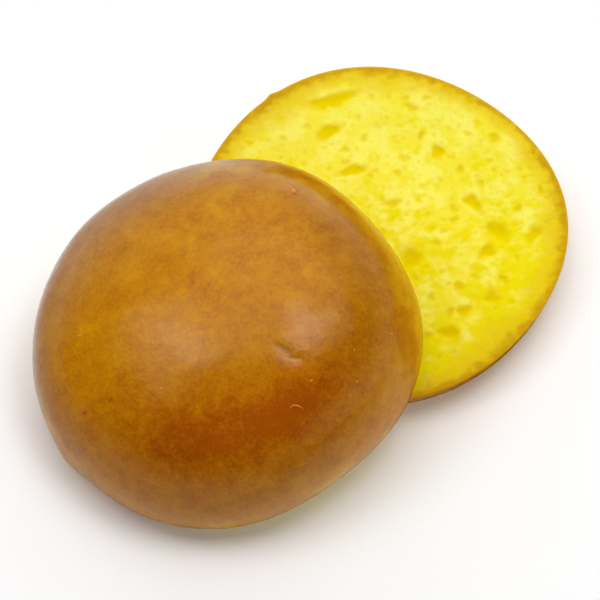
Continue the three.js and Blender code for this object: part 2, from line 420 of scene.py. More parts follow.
def colour_property(name, description, red, green, blue):
    """A colour given as the 0 to 255 values that a picture shows, made linear by the sRGB curve."""
    shown = np.array([red, green, blue]) / 255
    linear = np.where(shown <= 0.04045, shown / 12.92, ((shown + 0.055) / 1.055) ** 2.4)
    return bpy.props.FloatVectorProperty(
        name=name,
        description=description,
        default=linear.tolist(),
        size=3,
        subtype="COLOR",
        min=0.0,
        max=1.0,
    )


class HeelSizes(bpy.types.PropertyGroup):
    """Sizes of the flat lower half."""

    radius: length_property("Radius", "Mean radius of the cut face", 50.5 * MM)
    thickness: length_property("Thickness", "From the table to the cut face", HEEL_THICKNESS)
    base_radius: length_property("Base radius", "Radius of the flat base", 40 * MM)
    cut_angle: angle_property(
        "Cut angle", "Where the knife crosses the wall's arc, from the bun's widest ring", 22
    )


class CrownSizes(bpy.types.PropertyGroup):
    """Sizes of the domed upper half, and how it leans."""

    radius: length_property("Radius", "At the widest ring", 49.9 * MM)
    rise: length_property("Rise", "From the widest ring to the top", 32 * MM)
    fullness: bpy.props.FloatProperty(
        name="Fullness", description="2 is half an ellipse, and more is squarer", default=2.2
    )
    cut_drop: length_property("Cut drop", "From the widest ring down to the cut face", 9 * MM)
    cut_inset: length_property(
        "Cut inset", "How much narrower the cut face is than the widest ring", 2.2 * MM
    )
    lean: angle_property("Lean", "How steep the cut face is", 14)
    lean_direction: angle_property("Lean direction", "Which way the cut face slopes down, from +X", 225)


class BunColours(bpy.types.PropertyGroup):
    """Colours of crust and crumb."""

    crust_pale: colour_property("Pale crust", "Least baked crust, low on the wall", 228, 178, 12)
    crust_gold: colour_property("Gold crust", "Lightly browned crust", 204, 135, 6)
    crust_brown: colour_property("Brown crust", "Well browned crust", 189, 111, 5)
    crust_dark: colour_property("Dark crust", "Most browned crust", 171, 82, 4)
    crumb_light: colour_property("Light crumb", "Thin walls of the crumb", 252, 240, 104)
    crumb: colour_property("Crumb", "The crumb as a whole", 248, 232, 66)
    crumb_gold: colour_property("Gold crumb", "Moister crumb", 242, 225, 14)
    crumb_warm: colour_property("Warm crumb", "Crumb near the crust", 234, 204, 26)
    # Painted shade: the crumb's colour deepened in the hollows of the open bubbles
    crumb_in_pore_shade: colour_property("Deep crumb", "Inside the open bubbles", 236, 211, 0)
    crumb_edge: colour_property("Crumb edge", "Crumb browned by the crust", 207, 161, 20)
    fleck: colour_property("Fleck", "Flecks on the crust", 224, 154, 62)


class StageSettings(bpy.types.PropertyGroup):
    """The table, the light and the camera."""

    elevation: angle_property("Elevation", "Of the camera above the table", 58)
    distance: length_property("Distance", "From the camera to the bun", 2.0)
    view_width: length_property("View width", "How much of the table the picture spans", 157.9 * MM)
    aim: bpy.props.FloatVectorProperty(
        name="Aim",
        description="The point of the table in the middle of the picture",
        default=(-0.46 * MM, 5.08 * MM, 0.0),
        subtype="TRANSLATION",
        unit="LENGTH",
    )
    lamp_height: length_property("Lamp height", "Of the soft panels over the table", 1.0)
    brightness: bpy.props.FloatProperty(
        name="Brightness", description="Of the panels and the room together", default=0.902, min=0.0
    )


# Numbers


def seeded_numbers(seed):
    """Numbers from 0 to 1 by the same rule as the solids.

    Each state is the last one * 1664525 + 1013904223, modulo 2 to the 32. A number is its share of that.
    """
    state = seed
    while True:
        state = (state * 1664525 + 1013904223) % 2**32
        yield state / 2**32


def between(limits, share):
    """The value at a share of the way from the first limit to the second."""
    return limits[0] + (limits[1] - limits[0]) * share


def smooth_step(share):
    """0 below 0, 1 above 1, and 3t² - 2t³ between."""
    t = np.clip(share, 0.0, 1.0)
    return t * t * (3 - 2 * t)


def bell(distance, spread):
    """exp(-(distance / spread)²)."""
    return np.exp(-((distance / spread) ** 2))


def turn_between(direction, other):
    """The signed angle from one direction to another, from -180 to 180 degrees."""
    return np.angle(np.exp(1j * (direction - other)))


def lattice_noise(points, spacing, seed):
    """Smooth noise from -1 to 1: random values at the corners of cubes of that spacing, eased between."""
    values = np.random.default_rng(seed).uniform(-1.0, 1.0, (NOISE_CELLS, NOISE_CELLS, NOISE_CELLS))
    scaled = points / spacing
    corner = np.floor(scaled).astype(int)
    ease = smooth_step(scaled - corner)
    total = np.zeros(points.shape[:-1])
    for step in itertools.product((0, 1), repeat=3):
        weight = np.prod(np.where(step, ease, 1 - ease), axis=-1)
        at = (corner + step) % NOISE_CELLS
        total += weight * values[at[..., 0], at[..., 1], at[..., 2]]
    return total


def layered_noise(points, layers, seed):
    """The sum of noise layers, each a spacing and a height."""
    return sum(
        height * lattice_noise(points, spacing, seed + n) for n, (spacing, height) in enumerate(layers)
    )


# Shapes


def disc_grid(cells):
    """A square grid pulled into a disc, so that each square ring becomes a circle.

    Gives each point's share of the radius and its direction.
    """
    line = np.linspace(-1.0, 1.0, cells + 1)
    across, along = np.meshgrid(line, line, indexing="ij")
    wide = np.abs(across) >= np.abs(along)
    reach = np.where(wide, across, along)
    safe = np.where(reach == 0, 1.0, reach)
    turn = np.where(wide, math.pi / 4 * along / safe, math.pi / 2 - math.pi / 4 * across / safe)
    return np.abs(reach), np.arctan2(reach * np.sin(turn), reach * np.cos(turn))


def turned(radius, height, direction):
    """Points at a radius and height in a direction round +Z."""
    return np.stack([radius * np.cos(direction), radius * np.sin(direction), height], axis=-1)


def by_length(radii, heights, share):
    """Radius and height at an even share of a section's length, from its first point to its last."""
    steps = np.hypot(np.diff(radii), np.diff(heights))
    run = np.concatenate([[0.0], np.cumsum(steps)])
    at = share * run[-1]
    return np.interp(at, run, radii), np.interp(at, run, heights)


def surface_normals(points):
    """Unit normals of a grid: the cross product of its two directions."""
    normals = np.cross(np.gradient(points, axis=0), np.gradient(points, axis=1))
    return normals / np.linalg.norm(normals, axis=-1, keepdims=True)


def wave_offset(waves, direction):
    """How far an uneven edge stands out: the sum of depth * cos(count * turn from the crest)."""
    return sum(depth * np.cos(count * (direction - crest)) for count, depth, crest in waves)


def heel_offset(direction):
    """How far the heel's edge stands out: its waves and a bell curve for the nub."""
    nub = NUB_DEPTH * bell(turn_between(direction, NUB_DIRECTION), NUB_SPREAD)
    return wave_offset(HEEL_WAVES, direction) + nub


def crown_offset(direction, height):
    """How far the crown's crust stands out: its waves, and the lip's bells in direction and in height."""
    around = bell(turn_between(direction, LIP_DIRECTION), LIP_SPREAD)
    return wave_offset(CROWN_WAVES, direction) + LIP_DEPTH * around * bell(height, LIP_HEIGHT)


def heel_section(sizes):
    """Half section of the heel's crust: flat base, then the wall's elliptic arc up to the cut.

    On the arc, radius = base + reach * cos(angle) and height = drop * (1 - sin(angle)).
    """
    reach = (sizes.radius - sizes.base_radius) / math.cos(sizes.cut_angle)
    drop = sizes.thickness / (1 - math.sin(sizes.cut_angle))
    angle = np.linspace(math.pi / 2, sizes.cut_angle, SECTION_STEPS)
    radii = np.concatenate([[0.0], sizes.base_radius + reach * np.cos(angle)])
    heights = np.concatenate([[0.0], drop * (1 - np.sin(angle))])
    return radii, heights


def dome_section(sizes, polar):
    """Radius R * sin(polar)^(2/fullness) and height drop + rise * cos(polar)^(2/fullness) on the dome."""
    power = 2 / sizes.fullness
    cosine = np.clip(np.cos(polar), 0.0, 1.0)
    return sizes.radius * np.sin(polar) ** power, sizes.cut_drop + sizes.rise * cosine**power


def crown_section(sizes):
    """Half section of the crown's crust, from the top of the dome down to the cut.

    Below the widest ring the wall turns in by the inset times the square of its share of the drop.
    """
    radii, heights = dome_section(sizes, np.linspace(0.0, math.pi / 2, SECTION_STEPS))
    down = np.linspace(0.0, 1.0, WALL_STEPS)[1:]
    radii = np.concatenate([radii, sizes.radius - sizes.cut_inset * down**2])
    heights = np.concatenate([heights, sizes.cut_drop * (1 - down)])
    return radii, heights


def crown_crust(sizes):
    """The bare upright crust of the crown on a disc grid: its points, directions and shares."""
    share, direction = disc_grid(GRID_CELLS)
    radius, height = by_length(*crown_section(sizes), share)
    points = turned(radius * (1 + crown_offset(direction, height) / sizes.radius), height, direction)
    return points, direction, share


def dome_place(sizes, direction, polar):
    """One place on the bare dome: its point, and unit directions down, along the level and out."""
    radii, heights = dome_section(sizes, polar + SLOPE_STEP * np.array([-1, 0, 1]))
    points = turned(radii * (1 + wave_offset(CROWN_WAVES, direction) / sizes.radius), heights, direction)
    down = points[2] - points[0]
    down /= np.linalg.norm(down)
    along = np.array([-math.sin(direction), math.cos(direction), 0.0])
    return points[1], down, along, np.cross(down, along)


def crown_place(sizes):
    """The turn and the shift that bring the upright crown to where the solid leans.

    The turn is by the lean about the level line across the slope.
    """
    hinge = np.array([-math.sin(sizes.lean_direction), math.cos(sizes.lean_direction), 0.0])
    cross = np.cross(np.eye(3), hinge)
    matrix = np.eye(3) + math.sin(sizes.lean) * cross + (1 - math.cos(sizes.lean)) * cross @ cross
    leaning = crown_crust(sizes)[0] @ matrix.T
    return matrix, np.array(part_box("crown")[0]) - leaning.reshape(-1, 3).min(axis=0)


def pucker_frame(sizes, points):
    """Distances from the pucker's middle, down the slope and along the level."""
    centre, down, along, _ = dome_place(sizes, PUCKER_DIRECTION, PUCKER_POLAR)
    return (points - centre) @ down, (points - centre) @ along


def pucker_groove(sizes, points, shift):
    """The pucker's grooves from 0 to 1, each a bell curve across its line.

    A fold's line is side = bend * run², with run and side measured along and across its turn. It fades at
    both ends by exp(-(2 * run / length)⁴). The shift moves them all along the level.
    """
    slope, level = pucker_frame(sizes, points)
    level = level - shift
    groove = np.zeros(slope.shape)
    for at_slope, at_level, turn, length, width, bend, share in PUCKER_FOLDS:
        run = (slope - at_slope) * math.cos(turn) + (level - at_level) * math.sin(turn)
        side = (level - at_level) * math.cos(turn) - (slope - at_slope) * math.sin(turn)
        ends = np.exp(-((2 * run / length) ** 4))
        groove = np.maximum(groove, share * ends * bell(2 * (side - bend * run**2), width))
    return np.where(points[..., 2] > sizes.cut_drop, groove, 0.0)


def pucker_relief(sizes, points):
    """Height of the pucker: its grooves, and a bell-shaped swelling on each side."""
    slope, level = pucker_frame(sizes, points)
    relief = -PUCKER_DEPTH * pucker_groove(sizes, points, 0.0)
    for at_slope, at_level, spread, height in (PUCKER_KNOB, PUCKER_SWELLING):
        relief += height * bell(np.hypot(slope - at_slope, level - at_level), spread)
    return relief


def crown_relief(sizes, points):
    """How far the crust stands out from bare: low noise that fades at the cut, and the pucker."""
    fade = smooth_step(points[..., 2] / CRUST_FADE)
    low = fade * layered_noise(points, CRUST_RELIEF, CROWN_SEED + CRUST_SEED_STEP)
    upper = points[..., 2] > sizes.cut_drop
    return low + upper * pucker_relief(sizes, points)


def dome_polar(sizes, points):
    """Angle down from the top of the dome, from the height of points of the bare crown."""
    rise = np.clip((points[..., 2] - sizes.cut_drop) / sizes.rise, 0.0, 1.0)
    return np.arccos(rise ** (sizes.fullness / 2))


def patched(patches, direction, polar):
    """The sum of patches, each a bell curve in direction times one in polar angle, times its strength."""
    total = np.zeros(direction.shape)
    for *place, strength in patches:
        at_direction, at_polar, spread, polar_spread = np.radians(place)
        near = bell(turn_between(direction, at_direction), spread) * bell(polar - at_polar, polar_spread)
        total += strength * near
    return total


def crown_browning(sizes, points, direction):
    """Browning, pale at about 0 and dark at 1: its patches, small specks, and a paler low wall."""
    browning = BROWNING + patched(BROWNED_PATCHES, direction, dome_polar(sizes, points))
    for place in SPECKS:
        centre = dome_place(sizes, *np.radians(place))[0]
        browning += bell(np.linalg.norm(points - centre, axis=-1), SPECK_RADIUS)
    return browning - PALE_WALL * smooth_step(1 - points[..., 2] / (PALE_WALL_REACH * sizes.cut_drop))


def crown_shade_and_tone(sizes, points, direction):
    """Lightness of the crust: 1, less patches of its tone with painted shade and light, and the pucker's
    painted shade.
    """
    patch_shade_and_tone = patched(SHADE_AND_TONE_PATCHES, direction, dome_polar(sizes, points))
    return 1 - patch_shade_and_tone - PUCKER_SHADE * pucker_groove(sizes, points, PUCKER_SHADE_SHIFT)


def scatter_bubbles(bubbles, count, lengths, room, face_radius, numbers):
    """Adds bubbles at random places of a disc, each clear of the crust and of those already there."""
    spacing, margin = room
    wanted = len(bubbles) + count
    tries = BUBBLE_TRIES * count
    while len(bubbles) < wanted and tries:
        tries -= 1
        length = between(lengths, next(numbers))
        reach = (face_radius - margin - length / 2) * math.sqrt(next(numbers))
        direction = 2 * math.pi * next(numbers)
        share = between(BUBBLE_WIDTH_SHARES, next(numbers))
        turn = math.pi * next(numbers)
        x, y = reach * math.cos(direction), reach * math.sin(direction)
        if all(math.hypot(b[0] - x, b[1] - y) > (b[2] + length) / 2 + spacing for b in bubbles):
            bubbles.append((x, y, length, length * share, turn))


def heel_bubbles(face_radius):
    """The heel's open bubbles: large ones, the scattered ones of the solid, spots, then finer ones."""
    bubbles = [(*np.array(row[:4]) * MM, math.radians(row[4])) for row in HEEL_BUBBLES]
    numbers = seeded_numbers(HEEL_SEED)
    scatter_bubbles(bubbles, HEEL_SMALL_BUBBLES, SMALL_BUBBLE_LENGTHS, BUBBLE_ROOM, face_radius, numbers)
    bubbles += [(*np.array(row) * MM, 0.0) for row in HEEL_SPOTS]
    add_fine_bubbles(bubbles, face_radius, FINE_SEED)
    return bubbles


def crown_bubbles(face_radius):
    """The crown's open bubbles: the scattered ones of the solid, then finer ones."""
    numbers = seeded_numbers(CROWN_SEED)
    bubbles = []
    for count, lengths in (
        (CROWN_LARGE_BUBBLES, LARGE_BUBBLE_LENGTHS),
        (CROWN_SMALL_BUBBLES, SMALL_BUBBLE_LENGTHS),
    ):
        scatter_bubbles(bubbles, count, lengths, BUBBLE_ROOM, face_radius, numbers)
    add_fine_bubbles(bubbles, face_radius, CROWN_FINE_SEED)
    return bubbles


def add_fine_bubbles(bubbles, face_radius, seed):
    """Adds the finest bubbles between the others."""
    numbers = seeded_numbers(seed)
    scatter_bubbles(bubbles, FINE_BUBBLES, FINE_BUBBLE_LENGTHS, FINE_ROOM, face_radius, numbers)


def bubble_depth_and_shade(points, bubbles):
    """Depth of the open bubbles, and how strongly painted shade deepens the crumb's colour there, from 0
    to 1.

    q is the point's distance from a bubble's middle over the bubble's own radius in that direction, which
    wavers by the sum of two sines, with noise that makes it ragged. Depth eases in from the hollow's reach
    inwards, and the painted shade from its own reach. Wider bubbles have more of both.
    """
    depth = np.zeros(points.shape[:-1])
    strength = depth.copy()
    ragged = RAGGED_EDGE * lattice_noise(points, RAGGED_SPACING, FINE_SEED)
    for n, (x, y, length, width, turn) in enumerate(bubbles):
        dx, dy = points[..., 0] - x, points[..., 1] - y
        along = (dx * math.cos(turn) + dy * math.sin(turn)) / (length / 2)
        across = (dy * math.cos(turn) - dx * math.sin(turn)) / (width / 2)
        angle = np.arctan2(across, along)
        waver = 1 + TWO_LOBES * np.sin(2 * angle + n) + THREE_LOBES * np.sin(3 * angle + 2 * n)
        q = np.hypot(along, across) / waver + ragged
        depth = np.maximum(depth, width * BUBBLE_DEPTH_SHARE * smooth_step(HOLLOW_REACH - q))
        wide = smooth_step((width - NARROW_WIDTH) / WIDENING)
        reach = PORE_SHADE_REACH + WIDE_PORE_SHADE * wide
        bubble_shade = (NARROW_PORE_SHADE + (1 - NARROW_PORE_SHADE) * wide) * smooth_step((reach - q) / PORE_SHADE_EASE)
        strength = np.maximum(strength, bubble_shade)
    return depth, strength


def cut_face(rim, direction, share, height, outward, bubbles, seed):
    """A cut face: a disc out to the rim, lowered by its bubbles and by noise, both fading at the crust.

    Gives the points, and the values of each attribute that the crumb's material reads.
    """
    points = turned(rim * share, np.full(share.shape, height), direction)
    from_crust = rim * (1 - share)
    settle = smooth_step(from_crust / CRUMB_FADE)
    depth, strength = bubble_depth_and_shade(points, bubbles)
    width = 1 + WIDE_RIM * np.cos(2 * (direction - WIDE_RIM_DIRECTION))
    edge = turned(rim, 0 * rim, direction)
    width = width + RIM_NOISE * lattice_noise(edge, RIM_NOISE_SPACING, seed + RIM_SEED_STEP)
    golden = GOLDEN_MIDDLE + GOLDEN_SLOPE * share * np.cos(direction - GOLDEN_DIRECTION)
    golden = golden + layered_noise(points, GOLDEN_CLOUDS, seed + GOLDEN_SEED_STEP)
    points[..., 2] += outward * settle * (layered_noise(points, CRUMB_RELIEF, seed) - depth)
    return points, {"pore_shade": strength, "from_crust": from_crust / MM / width, "golden": golden}


def heel_shade(rim, direction, share, crown_direction):
    """How much painted shade darkens the heel's crumb: eased in over the shade's reach, on the way to the
    crown.
    """
    towards_crown = rim * share * np.cos(direction - crown_direction)
    return CROWN_SHADE * smooth_step(1 + towards_crown / CROWN_SHADE_REACH)


def fleck_grids(centre, down, along, out, length, width, height, turn, curl):
    """A fleck's upper and lower side: a lens whose middle line heads along its turn plus curl * s².

    s runs from 0 to 1 along the line. The lens is as thick as height * the square root of 1 - share².
    """
    share, direction = disc_grid(FLECK_CELLS)
    s = np.linspace(0.0, 1.0, FLECK_STEPS)
    heading = turn + curl * s**2
    run = np.stack([np.cos(heading), np.sin(heading)], axis=-1).cumsum(axis=0) * length / len(s)
    run -= run.mean(axis=0)
    place = (share * np.cos(direction) + 1) / 2
    side = share * np.sin(direction) * width / 2
    angle = np.interp(place, s, heading)
    level = np.interp(place, s, run[:, 0]) - side * np.sin(angle)
    slope = np.interp(place, s, run[:, 1]) + side * np.cos(angle)
    thick = height * np.sqrt(np.clip(1 - share**2, 0.0, 1.0))
    flat = centre + level[..., None] * along + slope[..., None] * down
    return flat + thick[..., None] * out, flat - FLECK_UNDERSIDE * thick[..., None] * out


# Meshes


def cell_corners(grid):
    """The corners of each cell of a grid of point numbers, in order round the cell."""
    corners = (grid[:-1, :-1], grid[1:, :-1], grid[1:, 1:], grid[:-1, 1:])
    return np.stack(corners, axis=-1).reshape(-1, len(corners))


def glued(upper, lower):
    """Joins two grids with the same rim into one closed shape. The upper one looks up, the lower one down.

    Gives the points, the four-sided faces, which of the grids each face is from, and which of the lower
    grid's points are its own.
    """
    rows, columns = upper.shape[:2]
    first = np.arange(rows * columns).reshape(rows, columns)
    inner = np.zeros((rows, columns), bool)
    inner[1:-1, 1:-1] = True
    second = first.copy()
    second[inner] = rows * columns + np.arange(inner.sum())
    points = np.concatenate([upper.reshape(-1, 3), lower[inner]])
    faces_up = cell_corners(first)
    # The same corners the other way round, to look down
    faces_down = cell_corners(second)[:, [0, 3, 2, 1]]
    return points, np.concatenate([faces_up, faces_down]), np.repeat([0, 1], len(faces_up)), inner


def half_bun(name, node, upper, lower, materials, attributes):
    """Adds one half of the bun from its two grids. It takes the place of a solid.

    attributes gives the values of each one on the upper and on the lower grid.
    """
    points, faces, sides, inner = glued(upper, lower)
    values = {key: np.concatenate([up.ravel(), low[inner]]) for key, (up, low) in attributes.items()}
    piece = mesh_object(name, points, faces, sides, materials, values)
    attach(piece, BODY)
    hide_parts(node)


def mesh_object(name, points, faces, sides, materials, attributes):
    """A smooth mesh object from arrays of points, faces, material places and point attributes."""
    mesh = bpy.data.meshes.new(name)
    mesh.vertices.add(len(points))
    mesh.vertices.foreach_set("co", points.astype(np.float32).ravel())
    mesh.loops.add(faces.size)
    mesh.loops.foreach_set("vertex_index", faces.astype(np.int32).ravel())
    mesh.polygons.add(len(faces))
    mesh.polygons.foreach_set("loop_start", np.arange(0, faces.size, faces.shape[1], dtype=np.int32))
    mesh.polygons.foreach_set("material_index", np.asarray(sides, np.int32))
    for key, values in attributes.items():
        mesh.attributes.new(key, "FLOAT", "POINT").data.foreach_set("value", values.astype(np.float32))
    for material in materials:
        mesh.materials.append(material)
    mesh.update(calc_edges=True)
    if mesh.validate():
        raise RuntimeError(f"{name} has bad faces")
    mesh.shade_smooth()
    piece = bpy.data.objects.new(name, mesh)
    bpy.context.scene.collection.objects.link(piece)
    return piece


# Materials


def new_material(name):
    """An empty node material and its tree."""
    material = bpy.data.materials.new(name)
    material.use_nodes = True
    material.node_tree.nodes.clear()
    return material, material.node_tree


def add_node(tree, kind, inputs=(), **settings):
    """Adds a node. Inputs are given by name or number, each a value or another node's output."""
    node = tree.nodes.new(kind)
    for key, value in settings.items():
        setattr(node, key, value)
    for key, value in dict(inputs).items():
        if isinstance(value, bpy.types.NodeSocket):
            tree.links.new(value, node.inputs[key])
        else:
            node.inputs[key].default_value = value
    return node


def noise(tree, coordinates, spacing, detail=3.0, roughness=0.55, distortion=0.0):
    """Noise from 0 to 1 on Object coordinates, with swellings of about that spacing."""
    inputs = {
        "Vector": coordinates,
        "Scale": 1 / spacing,
        "Detail": detail,
        "Roughness": roughness,
        "Distortion": distortion,
    }
    return add_node(tree, "ShaderNodeTexNoise", inputs).outputs["Fac"]


def compute(tree, operation, *values):
    """A Math node on one to three values."""
    return add_node(tree, "ShaderNodeMath", dict(enumerate(values)), operation=operation).outputs[0]


def spread_about(tree, value, noise_value, amount):
    """A value that noise moves up and down by up to half the amount."""
    return compute(tree, "ADD", value, compute(tree, "MULTIPLY_ADD", noise_value, amount, -amount / 2))


def eased(tree, value, low, high, to_low=0.0, to_high=1.0):
    """Maps low to high smoothly onto to_low to to_high."""
    inputs = {"Value": value, "From Min": low, "From Max": high, "To Min": to_low, "To Max": to_high}
    return add_node(tree, "ShaderNodeMapRange", inputs, interpolation_type="SMOOTHSTEP").outputs["Result"]


def mixed(tree, share, first, second):
    """Mixes two colours, each a colour or an output. The node's colour sockets go by their numbers."""
    inputs = {"Factor": share}
    for key, value in zip(MIX_COLOURS, (first, second)):
        inputs[key] = value if isinstance(value, bpy.types.NodeSocket) else (*value, 1.0)
    return add_node(tree, "ShaderNodeMix", inputs, data_type="RGBA").outputs[MIX_RESULT]


def toned(tree, colour, tone):
    """A colour made lighter or darker by a factor."""
    node = add_node(tree, "ShaderNodeVectorMath", {0: colour, "Scale": tone}, operation="SCALE")
    return node.outputs["Vector"]


def attribute(tree, name):
    """A point attribute of the piece."""
    return add_node(tree, "ShaderNodeAttribute", attribute_name=name).outputs["Fac"]


def object_coordinates(tree):
    """Object coordinates, in metres."""
    return add_node(tree, "ShaderNodeTexCoord").outputs["Object"]


def bumps(tree, layers):
    """Bump from layers of height, each a value from 0 to 1 and the height that 1 stands for."""
    normal = None
    for value, height in layers:
        inputs = {"Height": value, "Distance": height}
        if normal is not None:
            inputs["Normal"] = normal
        normal = add_node(tree, "ShaderNodeBump", inputs).outputs["Normal"]
    return normal


def finish_material(tree, inputs):
    """Ends a material in one Principled shader with those inputs."""
    shader = add_node(tree, "ShaderNodeBsdfPrincipled", inputs)
    add_node(tree, "ShaderNodeOutputMaterial", {"Surface": shader.outputs["BSDF"]})


def crust_material(colours):
    """Egg-washed crust: pale to dark by browning and mottling, finely wrinkled, with a soft gloss."""
    material, tree = new_material("egg-washed crust")
    place = object_coordinates(tree)
    clouds = noise(tree, place, *CRUST_CLOUDS)
    mottle = noise(tree, place, *CRUST_MOTTLE)
    grain = noise(tree, place, *CRUST_GRAIN)
    from_middle = compute(tree, "ADD", noise(tree, place, *CRUST_WRINKLES), -NOISE_MIDDLE)
    wrinkles = compute(tree, "ABSOLUTE", from_middle)
    browning = spread_about(tree, attribute(tree, "browning"), clouds, CLOUD_BROWNING)
    colour = mixed(tree, eased(tree, browning, *GOLD_CRUST), colours.crust_pale, colours.crust_gold)
    for value, amount in ((mottle, MOTTLE_BROWNING), (grain, GRAIN_BROWNING)):
        browning = spread_about(tree, browning, value, amount)
    colour = mixed(tree, eased(tree, browning, *BROWN_CRUST), colour, colours.crust_brown)
    colour = mixed(tree, eased(tree, browning, *DARK_CRUST), colour, colours.crust_dark)
    # The tone attribute holds the crust's own tone, painted shade and painted light, and the pucker's
    # painted shade
    tone = compute(tree, "MULTIPLY", attribute(tree, "tone"), eased(tree, grain, *GRAIN_TONES))
    tone = compute(tree, "MULTIPLY", tone, eased(tree, mottle, *MOTTLE_TONES))
    finish_material(
        tree,
        {
            "Base Color": toned(tree, colour, tone),
            "Roughness": compute(tree, "MULTIPLY_ADD", mottle, MOTTLE_ROUGHNESS, LEAST_ROUGHNESS),
            "Specular IOR Level": 0.23,
            "Normal": bumps(tree, [(mottle, MOTTLE_BUMP), (wrinkles, WRINKLE_BUMP), (grain, GRAIN_BUMP)]),
        },
    )
    return material


def crumb_material(colours):
    """Open crumb: cloudy pale yellow, deeper near the crust and browned at the edge, with painted shade in
    the bubbles and towards the crown.
    """
    material, tree = new_material("open crumb")
    place = object_coordinates(tree)
    clouds = noise(tree, place, *CRUMB_CLOUDS)
    cells = noise(tree, place, *CRUMB_CELLS)
    grain = noise(tree, place, *CRUMB_GRAIN)
    colour = mixed(tree, eased(tree, clouds, *LIGHT_CRUMB), colours.crumb, colours.crumb_light)
    golden = spread_about(tree, attribute(tree, "golden"), cells, CELL_GOLDEN)
    colour = mixed(tree, eased(tree, golden, *GOLD_CRUMB), colour, colours.crumb_gold)
    # Painted shade in the bubbles and in the finest pores
    pore_shade = compute(tree, "MAXIMUM", eased(tree, grain, *FINE_PORE_SHADE), attribute(tree, "pore_shade"))
    colour = mixed(tree, pore_shade, colour, colours.crumb_in_pore_shade)
    from_crust = spread_about(tree, attribute(tree, "from_crust"), cells, CELL_DISTANCE)
    from_crust = spread_about(tree, from_crust, grain, GRAIN_DISTANCE)
    colour = mixed(tree, eased(tree, from_crust, *WARM_CRUMB), colour, colours.crumb_warm)
    colour = mixed(tree, eased(tree, from_crust, *CRUMB_EDGE), colour, colours.crumb_edge)
    # Painted shade on the heel's crumb near the crown
    tone = compute(tree, "SUBTRACT", 1.0, attribute(tree, "shade"))
    finish_material(
        tree,
        {
            "Base Color": toned(tree, colour, tone),
            "Roughness": 0.9,
            "Specular IOR Level": 0.02,
            "Subsurface Weight": 0.5,
            "Subsurface Radius": (1.0, 0.8, 0.2),
            "Subsurface Scale": 2.2 * MM,
            "Normal": bumps(tree, [(cells, CELL_BUMP), (grain, CRUMB_GRAIN_BUMP)]),
        },
    )
    return material


def fleck_material(colours):
    """Dry pale flecks, browned in places."""
    material, tree = new_material("dry fleck")
    browned = eased(tree, noise(tree, object_coordinates(tree), *FLECK_PATCHES), *BROWNED_FLECK)
    colour = mixed(tree, browned, colours.fleck, colours.crust_gold)
    finish_material(tree, {"Base Color": colour, "Roughness": 0.6})
    return material


def mirrored_share(tree, place):
    """How much of the table the crust mirrors: less beyond the heel, in front and to either side."""
    x, y, _ = add_node(tree, "ShaderNodeSeparateXYZ", {"Vector": place}).outputs
    this_side = compute(tree, "MAXIMUM", eased(tree, y, *THIS_SIDE_Y), eased(tree, x, *THIS_SIDE_X))
    not_far_left = compute(tree, "MAXIMUM", eased(tree, x, *LEFT_X), eased(tree, y, *LEFT_Y))
    not_far_right = compute(tree, "MAXIMUM", eased(tree, x, *RIGHT_X), eased(tree, y, *RIGHT_Y))
    share = eased(tree, y, *FRONT_Y)
    for factor in (this_side, not_far_left, not_far_right):
        share = compute(tree, "MULTIPLY", share, factor)
    return share


def mirrored_glow(tree, place):
    """How strongly the mirrored table shines: more behind the bun."""
    y = add_node(tree, "ShaderNodeSeparateXYZ", {"Vector": place}).outputs["Y"]
    return eased(tree, y, *SHEET_GLOW_Y)


def table_material(name, share, glow):
    """Matt white table top with a faint unevenness.

    The share is how solid it is and the glow how strongly it shines. Each is a value, or a function that
    makes one from the place.
    """
    material, tree = new_material(name)
    place = object_coordinates(tree)
    colour = mixed(tree, noise(tree, place, *TABLE_PATCHES), *TABLE_WHITES)
    finish_material(
        tree,
        {
            "Base Color": colour,
            "Roughness": 0.7,
            "Specular IOR Level": 0.1,
            "Emission Color": (1.0, 1.0, 1.0, 1.0),
            "Emission Strength": glow(tree, place) if callable(glow) else glow,
            "Alpha": share(tree, place) if callable(share) else share,
        },
    )
    return material


def shared_material(name, maker):
    """The material of that name, made once for all pieces."""
    return bpy.data.materials.get(name) or maker(bpy.context.scene.bun_colours)


def bun_materials():
    """The crust and the crumb."""
    crust = shared_material("egg-washed crust", crust_material)
    return crust, shared_material("open crumb", crumb_material)


def bun_attributes(face_values, crust_values, face_is_upper):
    """Attributes of both grids of a half: the cut face's own, 0 on the crust, and the crust's."""
    blank = np.zeros_like(crust_values["browning"])
    pairs = {}
    for key, value in face_values.items():
        pairs[key] = (value, blank) if face_is_upper else (blank, value)
    return {**pairs, **{key: (value, value) for key, value in crust_values.items()}}


# Operators


